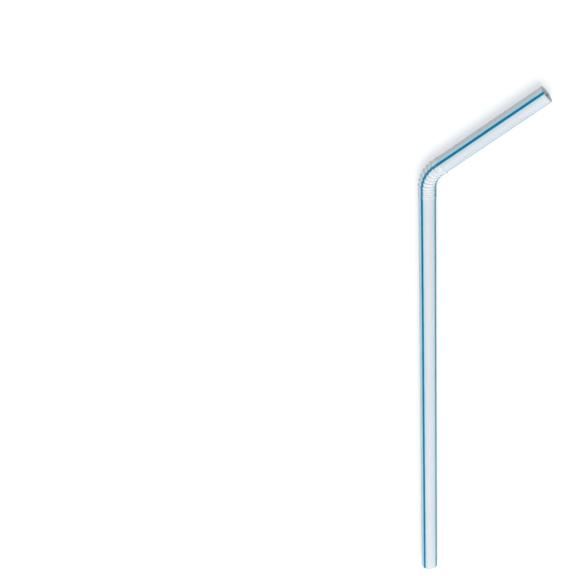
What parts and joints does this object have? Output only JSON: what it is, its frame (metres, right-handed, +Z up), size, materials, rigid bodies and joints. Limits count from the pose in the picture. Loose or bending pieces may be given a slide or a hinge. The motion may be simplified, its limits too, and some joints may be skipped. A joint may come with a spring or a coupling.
{
  "type": "drinking straw",
  "caption": "Thin-walled plastic drinking straw, striped along its length, with a pleated neck bent to one side and both ends open.",
  "frame": {"origin": "middle of the straw's box, on the surface that it lies on", "axes": "+Y along the lower run from the foot to the neck, the neck bends the upper run towards +X, +Z up, square to the plane of the bend"},
  "size_m": [0.0432, 0.1942, 0.0065],
  "materials": {
    "straw_plastic": "translucent bluish-white polypropylene, smooth satin, with four blue stripes extruded along the wall"
  },
  "bodies": {
    "root": {"straw_tube": "straw_plastic"}
  },
  "joints": []
}
